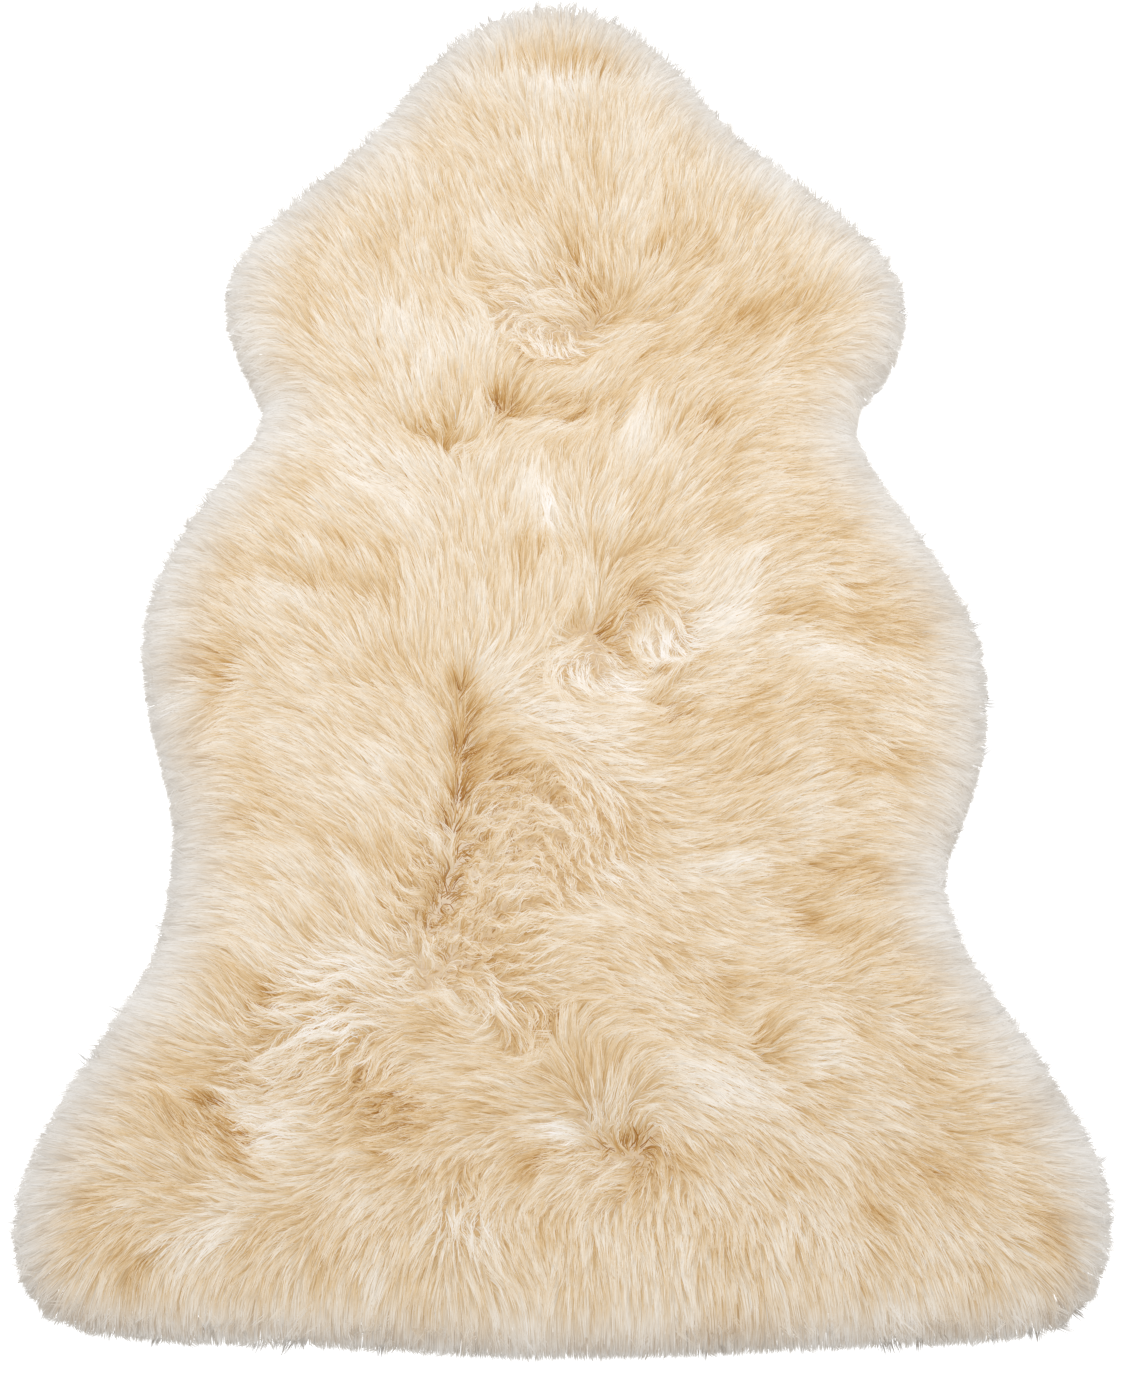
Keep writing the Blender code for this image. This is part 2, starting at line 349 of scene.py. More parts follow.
        (760, 1180, -54), (800, 1185, -57), (835, 1190, -65), (870, 1215, -60), (760, 1225, -80),
        (800, 1235, -73), (920, 1230, -60), (970, 1230, -50), (1030, 1235, -40), (1085, 1235, -32),
        (840, 1260, -72), (900, 1270, -68), (780, 1280, -66), (820, 1305, -72), (870, 1300, -74),
        (940, 1285, -64), (1000, 1275, -56), (1060, 1270, -46), (920, 1315, -74), (1000, 1310, -62),
    ),
}

# closer readings round the whorls and the parting, which take the place of the strokes near them
closeStrokes = {
    "shoulder whorl": (
        (606, 300, 130), (600, 290, 120), (612, 288, 90), (590, 296, 145), (575, 285, 140),
        (560, 270, 135), (545, 255, 135), (520, 240, 135), (595, 270, 115), (590, 245, 110),
        (605, 260, 100), (575, 255, 125), (555, 235, 125), (620, 265, 85), (628, 290, 60),
        (640, 300, 40), (590, 308, 165), (570, 305, 170), (550, 300, 175), (530, 295, 180),
        (510, 290, 190), (498, 285, 200), (575, 318, 190), (555, 318, 195), (535, 315, 200),
        (515, 312, 215), (502, 318, 235), (505, 330, 260), (520, 335, 275), (530, 342, 290),
        (545, 345, 280), (558, 342, 290), (570, 338, 300), (585, 332, 320), (600, 322, 345),
        (600, 312, 0), (620, 310, 20), (620, 325, 5), (640, 320, 20), (490, 300, 160), (485, 320, 120),
        (610, 340, 15), (580, 355, 20), (545, 362, 20), (515, 355, 40), (500, 345, 70), (640, 345, 20),
        (560, 380, 25), (530, 385, 30),
    ),
    "left shoulder hollow": (
        (500, 402, 110), (495, 385, 100), (510, 405, 30), (520, 395, 30), (490, 400, 140),
        (505, 415, 320), (440, 425, 130), (445, 440, 60), (430, 440, 170), (450, 450, 340),
        (438, 455, 120), (425, 425, 120),
    ),
    "back whorl": (
        (594, 608, 95), (590, 590, 100), (585, 570, 95), (602, 604, 70), (612, 596, 55), (622, 582, 45),
        (634, 570, 25), (648, 565, 0), (662, 570, 335), (604, 628, 40), (610, 616, 50), (618, 606, 50),
        (630, 596, 30), (645, 590, 340), (660, 590, 310), (672, 592, 325), (632, 610, 290),
        (638, 625, 265), (642, 642, 285), (650, 655, 300), (655, 612, 285), (660, 630, 275),
        (666, 648, 290), (672, 612, 300), (678, 630, 290), (684, 646, 310), (690, 600, 20),
        (700, 620, 20), (700, 585, 45), (715, 600, 35), (700, 640, 10), (696, 655, 20), (712, 650, 5),
        (720, 670, 350), (590, 632, 250), (598, 640, 280), (600, 655, 285), (604, 668, 300),
        (612, 682, 325), (625, 692, 345), (640, 694, 15), (648, 688, 60), (618, 645, 310),
        (628, 660, 330), (640, 668, 345), (652, 672, 30), (662, 680, 40), (672, 668, 45), (680, 690, 10),
        (668, 700, 350), (585, 648, 200), (576, 644, 195), (566, 652, 225), (562, 665, 260),
        (566, 680, 290), (578, 690, 320), (590, 676, 280), (585, 660, 260), (595, 700, 350),
        (615, 706, 5), (640, 710, 0), (670, 712, 20), (690, 712, 10), (710, 700, 0),
    ),
    "right of parting, upper": (
        (462, 690, 20), (470, 680, 45), (455, 680, 125), (450, 690, 130), (466, 714, 15),
        (455, 712, 130), (462, 745, 5), (452, 740, 135), (464, 765, 10), (453, 765, 140), (462, 792, 20),
        (452, 792, 140), (446, 810, 145), (460, 812, 20), (450, 830, 145), (462, 835, 350),
        (444, 850, 145), (462, 852, 0), (455, 872, 340), (440, 872, 150), (445, 900, 320),
        (428, 895, 145), (435, 915, 310), (418, 912, 135), (440, 700, 130), (438, 730, 135),
        (438, 760, 140), (436, 790, 140), (432, 820, 145), (428, 850, 150), (420, 720, 135),
        (420, 770, 140), (418, 820, 145),
    ),
}

strokeSpec = {
    "photoWidth": 1127,      # pixels
    "photoHeight": 1395,
    "woolHeight": 45 * mm,   # about how high the wool that shows is
    "closeReach": 13,        # mm within which a closer reading takes a stroke's place
    "blend": 9,              # square mm added to each distance squared, so that near strokes blend
    "batch": 4000,           # points worked out at a time, to save memory
}


def onRug(readings):
    # photo readings seen through the camera: x and y in mm on the rug, and the heading there in radians
    rows = np.array([row for region in readings.values() for row in region], float)
    focal = cameraSpec["lens"] / cameraSpec["sensorWidth"] * strokeSpec["photoWidth"]
    right = (rows[:, 0] - strokeSpec["photoWidth"] / 2) / focal
    below = (rows[:, 1] - strokeSpec["photoHeight"] / 2) / focal
    tilt = math.radians(cameraSpec["elevation"])
    eyeX, eyeY, eyeZ = cameraSpec["location"]
    depth = (eyeZ - strokeSpec["woolHeight"]) / (math.sin(tilt) + below * math.cos(tilt))
    x = eyeX + right * depth
    y = eyeY + (math.cos(tilt) - below * math.sin(tilt)) * depth
    seen = np.radians(rows[:, 2])
    heading = np.arctan2(np.sin(seen) / math.sin(tilt), np.cos(seen))
    return np.column_stack((x / mm, y / mm, heading))


# Where the wool is paler (above 0) or more golden (below 0): partly its own tone, golden where hollows
# show the roots, and partly painted light, a painted highlight on brushed-up ridges and painted shade
# in hollows and creases. x and y of the middle, half length, half width in mm, heading, and how much
toneAndPaintedLightPatches = (
    # neck
    (0, 430, 95, 11, 0, 0.25), (0, 450, 92, 12, 0, -0.30), (-80, 425, 18, 12, 40, -0.10),
    # shoulders
    (-105, 205, 36, 24, 150, 0.25), (-14, 214, 28, 9, -5, 0.45), (-10, 199, 32, 6, 0, -0.45),
    (-20, 275, 34, 14, 130, 0.25), (-46, 158, 9, 8, 0, -0.50), (-10, 244, 26, 9, 0, 0.22),
    (129, 224, 26, 15, 20, -0.30), (41, 212, 20, 9, 0, 0.25), (-46, 257, 8, 6, 0, -0.35),
    (23, 251, 9, 5, 0, -0.40), (68, 284, 8, 7, 30, -0.35), (104, 290, 6, 9, 0, -0.30),
    (60, 215, 90, 55, 0, -0.14), (0, 290, 110, 60, 0, -0.07), (175, 235, 40, 25, 0, -0.12),
    (-180, 245, 35, 25, 140, -0.10),
    # ribs
    (-130, 95, 60, 20, 144, 0.28), (-3, 154, 42, 12, 0, -0.30), (-3, 117, 26, 8, 0, -0.20),
    (-90, 128, 9, 10, 60, -0.35), (-142, 36, 24, 9, 165, -0.28), (-147, 8, 48, 9, 170, -0.25),
    (-175, -6, 30, 7, 165, 0.22), (-8, 52, 8, 18, 0, 0.30),
    (103, 137, 11, 10, 0, -0.35), (98, 120, 40, 30, 0, -0.15), (55, 120, 18, 26, 0, 0.25),
    (-2, 34, 46, 8, 0, -0.25), (-20, 75, 35, 16, 0, 0.15), (150, 60, 50, 25, 0, -0.10),
    # right flank
    (108, -15, 40, 20, 35, 0.32), (184, -42, 46, 12, -10, 0.25), (157, -4, 32, 12, 0, -0.32),
    (236, -15, 26, 26, 0, -0.25), (114, -110, 30, 30, 0, -0.20), (196, -125, 30, 12, 0, -0.25),
    (177, -88, 35, 15, 0, -0.15), (240, 30, 20, 30, 0, -0.12),
    # back whorl
    (51, 4, 10, 5, 10, -0.70), (37, -11, 8, 8, 60, -0.45), (35, -31, 6, 12, 0, -0.40),
    (43, -43, 8, 6, -40, -0.40), (60, -58, 8, 6, 30, -0.90), (88, -45, 5, 8, 0, -0.45),
    (24, -22, 3, 5, 0, -0.90), (22, -50, 3, 5, 0, -0.50), (22, -72, 4, 4, 0, -0.50),
    (72, -88, 10, 8, 0, -0.45), (66, -20, 16, 16, 0, 0.25), (28, -62, 10, 20, 40, 0.42),
    (-16, -88, 30, 10, -25, 0.35), (2, -52, 12, 18, 10, 0.25), (84, -20, 12, 22, 0, 0.15),
    # parting and the curly middle
    (-71, -112, 6, 8, 0, -0.80), (-70, -148, 6, 9, 0, -0.80), (-72, -69, 5, 8, 0, -0.60),
    (-67, -88, 5, 6, 0, -0.70), (-70, -128, 3, 20, 0, -0.30), (-70, -188, 6, 6, 0, -0.60),
    (-77, -210, 5, 7, 0, -0.60),
    (-76, -167, 7, 9, 0, -0.65), (-84, -225, 9, 12, 0, -0.50), (-91, -243, 10, 9, 0, -0.40),
    (-110, -281, 9, 8, 0, -0.25), (-57, -122, 25, 18, 0, -0.28), (-64, -164, 22, 4, -5, 0.50),
    (-43, -182, 46, 34, 0, -0.15), (-23, -142, 26, 15, 10, -0.20), (-60, -239, 14, 24, 0, -0.25),
    (-49, -267, 22, 8, 0, -0.28), (-48, -288, 5, 14, 30, 0.30), (25, -120, 30, 25, 0, 0.10),
    (-85, -185, 16, 6, -30, 0.30), (-92, -275, 12, 12, 0, 0.15),
    # left flank
    (-243, -130, 14, 34, 0, -0.28), (-235, -172, 34, 10, 0, -0.20), (-247, -50, 22, 18, 20, -0.42),
    (-252, -72, 36, 7, 35, 0.35), (-228, -56, 26, 4, 70, -0.50), (-137, -210, 24, 6, 125, 0.40),
    (-110, -203, 18, 15, 0, -0.25), (-150, -196, 25, 12, 140, -0.22), (-206, -290, 26, 10, 130, -0.30),
    (-188, -295, 12, 6, 10, -0.30), (-143, -277, 44, 14, 0, 0.28), (-155, -313, 50, 13, 0, 0.28),
    (-81, -316, 26, 9, 0, -0.28), (-180, -110, 50, 25, 160, 0.10), (-200, -230, 40, 20, 170, 0.10),
    # left thigh and hind leg
    (-227, -367, 10, 7, -20, -0.65), (-211, -391, 22, 7, 130, -0.62), (-201, -414, 12, 6, 150, -0.45),
    (-244, -384, 24, 8, 145, -0.32), (-216, -347, 24, 8, 170, -0.25), (-182, -384, 30, 20, 0, 0.18),
    (-297, -431, 14, 10, 20, -0.25), (-270, -466, 22, 14, 60, -0.22), (-188, -453, 12, 8, 30, -0.28),
    (-156, -466, 8, 14, 0, -0.28), (-223, -453, 25, 9, 30, 0.28), (-115, -470, 8, 18, 0, 0.15),
    # rump and tail
    (-106, -370, 28, 28, 0, -0.35), (-98, -375, 10, 12, 0, -0.25), (-19, -309, 14, 22, -60, -0.28),
    (17, -349, 30, 20, 0, -0.15), (7, -384, 13, 7, -20, 0.45), (49, -394, 22, 4, 0, -0.65),
    (59, -408, 12, 14, 0, -0.32), (-9, -402, 18, 5, 30, -0.40), (-60, -440, 30, 14, 0, 0.18),
    (60, -455, 40, 16, 0, 0.20), (-85, -497, 6, 22, 0, -0.25), (-130, -345, 6, 14, 10, -0.30),
    # right loin, thigh and hind leg
    (108, -198, 32, 8, 10, 0.38), (91, -189, 26, 4, 0, -0.25), (160, -210, 42, 14, 0, -0.14),
    (151, -235, 13, 8, 0, -0.40), (170, -249, 26, 13, -10, -0.28), (198, -210, 40, 24, 0, -0.15),
    (100, -284, 14, 16, 0, -0.30), (128, -322, 14, 11, 20, -0.30), (134, -342, 15, 10, -20, -0.30),
    (101, -357, 36, 24, -30, 0.32), (153, -338, 30, 12, 0, 0.22), (236, -408, 24, 16, -35, -0.22),
    (304, -448, 22, 11, -40, -0.25), (258, -381, 24, 12, 0, -0.15), (197, -436, 15, 5, -50, -0.50),
    (124, -475, 10, 4, -60, -0.40), (107, -500, 36, 12, 0, -0.25), (160, -440, 30, 14, -50, 0.18),
    (220, -290, 40, 18, 0, -0.08), (240, -235, 20, 20, 0, 0.12),
)

# Where the wool curls instead of lying straight: x, y and half size in mm, and how much
curlPatches = (
    (-45, -190, 46, 1.0), (-20, -145, 25, 0.8), (-75, -240, 34, 0.9), (-92, -275, 18, 1.0),
    (-45, -268, 26, 0.6), (-15, 235, 38, 0.55), (10, 265, 28, 0.35), (50, -35, 42, 0.50),
    (20, -180, 36, 0.45), (-46, 158, 14, 0.50), (-90, 128, 16, 0.50), (-8, 52, 20, 0.45),
    (-60, -435, 34, 0.35), (0, 150, 26, 0.4), (103, 137, 16, 0.6), (-225, -385, 22, 0.3),
    (-160, -300, 45, 0.45), (-190, -335, 30, 0.35), (-18, -310, 18, 0.6), (-105, -372, 26, 0.35),
    (30, -390, 30, 0.35), (75, -85, 14, 0.5),
    (-188, -378, 36, 0.40), (-128, -335, 34, 0.35), (40, -400, 34, 0.30),
)


def patchSum(table, x, y):
    # the soft spots added up at points in mm. A row of four values is a round spot
    total = np.zeros_like(x)
    for row in table:
        if len(row) == 4:
            spotX, spotY, size, amount = row
            total += amount * np.exp(-((x - spotX) ** 2 + (y - spotY) ** 2) / size ** 2)
        else:
            spotX, spotY, halfLength, halfWidth, heading, amount = row
            turn = math.radians(heading)
            along = (x - spotX) * math.cos(turn) + (y - spotY) * math.sin(turn)
            across = (y - spotY) * math.cos(turn) - (x - spotX) * math.sin(turn)
            total += amount * np.exp(-(along / halfLength) ** 2 - (across / halfWidth) ** 2)
    return total


def combField(x, y):
    # the combed direction at points in mm: the nearest strokes count most
    strokes, close = onRug(combStrokes), onRug(closeStrokes)
    apart = np.hypot(strokes[:, None, 0] - close[:, 0], strokes[:, None, 1] - close[:, 1]).min(axis=1)
    strokes = np.vstack((strokes[apart > strokeSpec["closeReach"]], close))
    ways = np.stack((np.cos(strokes[:, 2]), np.sin(strokes[:, 2])), 1)
    field = np.zeros((len(x), 2))
    for first in range(0, len(x), strokeSpec["batch"]):
        part = slice(first, first + strokeSpec["batch"])
        reach = (x[part, None] - strokes[:, 0]) ** 2 + (y[part, None] - strokes[:, 1]) ** 2
        field[part] = (1 / (reach + strokeSpec["blend"]) ** 2) @ ways
    return unit(field)


rimSpec = {
    "combOut": (4, 34),      # mm in from the floor ring over which the wool turns to point outwards
    "looseWool": (0, 50),    # over which it gets thin and loose
    "paintedLightRim": (-8, 48),    # and over which it turns grey: painted light and shade of the thin wool that turns down round the rim
    "tailShift": 1.05,       # and how much less at the tail for each mm up its side, which shows
    "tailFoot": 6,           # from this height in mm
    "tailPale": 0.14,        # how much paler the wool is at the tail's rim
    "tailReach": 30,         # and how far in from it, in mm
    "paintedLightToNeck": 0.04,        # painted light: how much paler the neck end is than the middle, and the tail end darker, as if more light fell towards the neck
    "halfLength": 525,       # mm from the middle to the neck end
    "hang": 1.1,             # how much the wool hangs down where the side is steep
    "leastUp": 0.1,          # how much of the way up is kept where the surface looks down
    "steepest": -0.35,       # no wool grows where the surface looks down more than this
}
sinkSpec = {
    "from": 0.15,            # how golden a hollow is before its wool lies lower
    "most": 0.6,             # how much of the pile's depth it can lose
}


def dressSurface(thing):
    # writes what the wool needs to know at each vertex of the surface that it grows from
    mesh = thing.data
    points = readVectors(mesh.vertices, "co")
    normals = readVectors(mesh.vertex_normals, "vector")
    x, y = points[:, 0] / mm, points[:, 1] / mm
    inset, outward = insetFromEdge(points[:, :2])
    inset /= mm
    outwardShare = 1 - smoothStep(*rimSpec["combOut"], inset)
    flat = unit(combField(x, y) * (1 - outwardShare)[:, None] + outward * outwardShare[:, None])
    steep = 1 - np.clip(normals[:, 2], 0, 1)
    comb = np.column_stack((flat, -steep * rimSpec["hang"]))
    comb = unit(comb - normals * np.sum(comb * normals, axis=1)[:, None])
    tailward = np.maximum(-outward[:, 1], 0)
    # the wool's own tone and painted light: the patches, a painted gradient paler towards the neck, and
    # paler wool at the tail's rim
    shade = patchSum(toneAndPaintedLightPatches, x, y) + rimSpec["paintedLightToNeck"] * (y / rimSpec["halfLength"])
    shade += rimSpec["tailPale"] * np.exp(-(inset / rimSpec["tailReach"]) ** 2) * tailward
    wayUp = normals.copy()  # no wool is lifted into the floor, under the rim it is lifted outwards
    wayUp[:, :2] += outward * np.maximum(-normals[:, 2:], 0)
    wayUp[:, 2] = np.maximum(wayUp[:, 2], rimSpec["leastUp"])
    wayUp = unit(wayUp)
    # painted light and shade: grey all round the rim, reaching higher up the tail's side, which shows
    tailSide = tailward * (points[:, 2] / mm - rimSpec["tailFoot"])
    fromRim = inset + rimSpec["tailShift"] * tailSide
    rimPaintedLight = 1 - smoothStep(*rimSpec["paintedLightRim"], fromRim)
    values = {
        "woolComb": comb, "woolUp": wayUp, "woolToneAndPaintedLight": shade * (1 - rimPaintedLight), "woolRimPaintedLight": rimPaintedLight,
        "woolLoose": 1 - smoothStep(*rimSpec["looseWool"], inset),
        "woolCurl": np.clip(patchSum(curlPatches, x, y), 0, 1),
        "woolSink": np.clip(-shade - sinkSpec["from"], 0, sinkSpec["most"]),
        # painted shade: a mask of the tail's steep side, which faces away from the lamp
        "woolTailShadeMask": steep * tailward,
        "woolGrows": (normals[:, 2] > rimSpec["steepest"]).astype(float),
    }
    for name, data in values.items():
        vector = data.ndim == 2
        attribute = mesh.attributes.new(name, "FLOAT_VECTOR" if vector else "FLOAT", "POINT")
        attribute.data.foreach_set("vector" if vector else "value", data.astype(np.float32).ravel())


undercoat = shrunkSkin("woolUndercoat", undercoatSpec["shownGrain"],
                        undercoatSpec["pileDepth"] + undercoatSpec["shownDrop"])
growSurface = shrunkSkin("growSurface", undercoatSpec["growGrain"], undercoatSpec["pileDepth"])
dressSurface(growSurface)
print("undercoat and growing surface:", len(undercoat.data.polygons), len(growSurface.data.polygons))


# the long wool
woolSpec = {
    "Fibres per square metre": 405000.0,
    "Fibre width": 0.66 * mm,
    "Lock length": 24 * mm,
    "Lock spacing": 2.5 * mm,
    "Pile depth": undercoatSpec["pileDepth"],
    "Heading scatter": math.radians(8),
    "Swing": 0.45,           # how far neighbours swing together, in radians
    "Wave": 0.35,            # and how far they do in smaller groups
    "Curl": 3.2,             # and how far locks bend where the wool curls
    "Lock pull": 0.60,       # how far the fibres are drawn into their lock
    "Frizz": 0.9 * mm,
    "Facing scatter": 0.17,
    "Seed": 7,
}
# each random draw adds its own number to the seed
drawNumbers = {
    "lock places": 11, "lock lengths": 12, "lock rises": 13, "headings": 14, "own ways": 15,
    "lock tints": 16, "fibre places": 21, "reaches": 22, "frizz": 23, "thicknesses": 25,
    "fibre tints": 26, "curled or combed": 28, "bleachAndRimPaintedLight": 29,
}
# how locks and fibres differ, the same for combed and curled wool
varySpec = {
    "wavesPatch": 36 * mm,   # lengths, rises and tints vary together in patches of this size
    "wavesDetail": 2.0,
    "wavesAmount": 0.5,
    "swingPatch": 26 * mm,
    "wavePatch": 11 * mm,
    "curlPatch": 5.5 * mm,
    "ownWay": 0.8 * mm,      # how far off each lock looks up its curl, so that neighbours differ
    "closest": 1.1,          # locks for each square of their spacing, more than fit in
    "lengthScatter": 0.2,
    "lengthWaves": 0.5,
    "meanLength": 0.95,
    "riseScatter": 0.13,
    "riseWaves": 0.8,
    "meanRise": 0.98,
    "reachScatter": 0.18,
    "meanReach": 0.88,
    "thickness": (0.6, 1.3),
    "keptWay": 0.5,          # a lock keeps so much of its last way, and bends in curves
    "lockOnward": 0.45,      # the least that a lock goes on by, as a share of its step
    "fibreOnward": 0.15,     # and a fibre in all, as a share of a lock's length
    "curlFrom": 0.15,        # fibres follow curled guides where the wool curls more than this
    "curlTo": 0.35,          # and all of them do from here on
    "facingUp": 0.35,        # fibres face this much more upwards than their lock
    "lowest": 0.6 * mm,      # nothing sinks into the floor
}
# how much less of its order and unevenness the wool has at the very rim, where it is thin and loose
looseSpec = {
    "uneven": 0.8,           # unevenness of the locks
    "turning": 0.85,         # turning off the combed way
    "gathered": 0.9,         # drawing into locks
    "reach": 0.7,            # unevenness of the fibres
    "thicker": 0.15,         # and how much thicker its fibres are
    "facingUp": 0.6,         # and how much more they face upwards, as light reaches thin wool from above
}
# the map's X is how pale the wool is, golden at 0, with the patches' painted light and shade in it, and
# its Y how grey it is, from bleached fibres and from the rim's painted light and shade
tintSpec = {
    "middle": 0.63,
    "patches": 0.54,         # how much the patches of tone and painted light and shade count
    "waves": 0.35,
    "fibreScatter": 0.08,
    "rootGold": -0.24,       # fades from one of these places along the fibre to the other
    "rootFrom": 0.15,
    "rootTo": 0.85,
    "tailShade": 0.64,       # the grey of the tail's side is this much in shade at its roots
    "tailFade": -0.62,       # and so much more towards its tips
    "bleachedPower": 200.0,  # very few fibres are bleached
    "least": 0.02,
    "most": 0.97,
    "greyFrom": 0.03,
    "greySpan": 0.94,
    "alongSpan": 0.01,       # a face is never a point on the map
    "acrossSpan": 0.016,
}
# a fibre is a ribbon of rungs from its root to its tip; climb is each rung's share of the pile's depth,
# pull how far the rung is drawn into its lock, stray how far it goes its own way
combedSpec = {
    "climb": (0.85, 1.0),
    "pull": (0.45, 1.0),
    "stray": (0.7, 0.8),
    "densityShare": 1.0,
    "lengthShare": 1.0,
    "spacingShare": 1.0,
    "pullShare": 1.0,
    "lockTint": 0.09,
}
curledSpec = {
    "climb": (0.42, 0.70, 0.86, 0.95, 1.0),
    "pull": (0.20, 0.45, 0.70, 0.90, 1.0),
    "stray": (-0.4, 0.5, 0.9, 0.6, 0.9),
    "densityShare": 0.78,    # curled wool has more rungs, so fewer fibres cover it
    "lengthShare": 0.95,
    "spacingShare": 0.75,
    "pullShare": 0.95,
    "lockTint": 0.15,
}


def woolTree(material, name, ribbon):
    curled = ribbon is curledSpec
    rungCount = len(ribbon["climb"]) + 1
    tree = bpy.data.node_groups.new(name, "GeometryNodeTree")
    sockets = tree.interface
    sockets.new_socket("Geometry", in_out="INPUT", socket_type="NodeSocketGeometry")
    for field, value in woolSpec.items():
        kind = "NodeSocketInt" if isinstance(value, int) else "NodeSocketFloat"
        sockets.new_socket(field, in_out="INPUT", socket_type=kind).default_value = value
    for field in ("From station", "To station"):
        sockets.new_socket(field, in_out="INPUT", socket_type="NodeSocketFloat")
    sockets.new_socket("Geometry", in_out="OUTPUT", socket_type="NodeSocketGeometry")
    given = tree.nodes.new("NodeGroupInput").outputs
    surface, seed = given["Geometry"], given["Seed"]

    def named(name, kind="FLOAT"):
        return addNode(tree, "GeometryNodeInputNamedAttribute", {"data_type": kind}, {"Name": name})

    def store(geometry, name, value, kind="FLOAT_VECTOR"):
        return addNode(tree, "GeometryNodeStoreNamedAttribute", {"data_type": kind, "domain": "POINT"},
                       {"Geometry": geometry, "Name": name, "Value": value})

    def maths(operation, a, b=0.0, c=None):
        return addNode(tree, "ShaderNodeMath", {"operation": operation},
                       {0: a, 1: b} if c is None else {0: a, 1: b, 2: c})

    def vectors(operation, a, b=None, **more):
        links = {0: a} if b is None else {0: a, 1: b}
        return addNode(tree, "ShaderNodeVectorMath", {"operation": operation}, {**links, **more})

    def seedOf(draw):
        return maths("ADD", seed, drawNumbers[draw])

    def randomValue(low, high, draw):
        return addNode(tree, "FunctionNodeRandomValue", {"data_type": "FLOAT"},
                       {"Min": low, "Max": high, "Seed": seedOf(draw)})

    def scattered(reach, draw):
        return randomValue(-reach, reach, draw)

    def randomVector(reach, draw):
        return addNode(tree, "FunctionNodeRandomValue", {"data_type": "FLOAT_VECTOR"},
                       {"Min": (-reach,) * 3, "Max": (reach,) * 3, "Seed": seedOf(draw)})

    def onSurface(value, place, kind="FLOAT_VECTOR"):
        return addNode(tree, "GeometryNodeSampleNearestSurface", {"data_type": kind},
                       {"Mesh": surface, "Value": value, "Sample Position": place})

    def directionAt(name, place):
        return vectors("NORMALIZE", onSurface(named(name, "FLOAT_VECTOR"), place))

    def noiseAt(place, patch, detail=0.0):
        # soft noise from -1 to 1 in patches of this size
        noise = addNode(tree, "ShaderNodeTexNoise", {"noise_dimensions": "3D"},
                        {"Vector": place, "Scale": 1 / patch, "Detail": detail})
        return maths("MULTIPLY", maths("SUBTRACT", noise, 0.5), 2.0)

    def lessAtRim(share):
        return maths("SUBTRACT", 1.0, maths("MULTIPLY", loose, share))

    def keptOnward(place, name, rung, up, least):
        # wool never turns back on itself: the rung is moved on, square to up, at least this far
        last, before = (named(f"{name}{number}", "FLOAT_VECTOR") for number in (rung - 1, rung - 2))
        onward = vectors("SUBTRACT", last, before)
        onward = vectors("NORMALIZE", vectors("SUBTRACT", onward, vectors("PROJECT", onward, up)))
        gone = vectors("DOT_PRODUCT", vectors("SUBTRACT", place, last), onward)
        short = maths("MAXIMUM", maths("SUBTRACT", least, gone), 0.0)
        return vectors("ADD", place, vectors("SCALE", onward, Scale=short))

    position = addNode(tree, "GeometryNodeInputPosition")
    grows = maths("GREATER_THAN", named("woolGrows"), 0.5)
    curl = named("woolCurl")
    loose = named("woolLoose")

    # one point for each lock, walked along the combed direction rung by rung
    spacing = maths("MULTIPLY", given["Lock spacing"], ribbon["spacingShare"])
    locks = addNode(tree, "GeometryNodeDistributePointsOnFaces", {"distribute_method": "POISSON"}, {
        "Mesh": surface, "Selection": grows, "Distance Min": spacing,
        "Density Max": maths("DIVIDE", varySpec["closest"], maths("MULTIPLY", spacing, spacing)),
        "Seed": seedOf("lock places")})
    waves = noiseAt(position, varySpec["wavesPatch"], varySpec["wavesDetail"])
    locks = store(locks, "woolWaves", maths("MULTIPLY", waves, varySpec["wavesAmount"]), "FLOAT")
    waves = named("woolWaves")
    uneven = scattered(varySpec["lengthScatter"], "lock lengths")
    uneven = maths("ADD", uneven, maths("MULTIPLY", waves, varySpec["lengthWaves"]))
    uneven = maths("MULTIPLY", uneven, lessAtRim(looseSpec["uneven"]))
    lockLength = maths("MULTIPLY", given["Lock length"], maths("ADD", uneven, varySpec["meanLength"]))
    lockLength = maths("MULTIPLY", lockLength, ribbon["lengthShare"])
    rungStep = maths("DIVIDE", lockLength, float(rungCount - 1))
    uneven = scattered(varySpec["riseScatter"], "lock rises")
    uneven = maths("ADD", uneven, maths("MULTIPLY", waves, varySpec["riseWaves"]))
    uneven = maths("MULTIPLY", uneven, lessAtRim(looseSpec["uneven"]))
    lockRise = maths("ADD", uneven, varySpec["meanRise"])
    scatter = maths("MULTIPLY", given["Heading scatter"], scattered(1.0, "headings"))
    ownWay = randomVector(varySpec["ownWay"], "own ways")
    locks = store(locks, "woolRoot", position)
    locks = store(locks, "woolGuide0", (0.0, 0.0, 0.0))
    place = named("woolRoot", "FLOAT_VECTOR")
    for rung in range(1, rungCount):
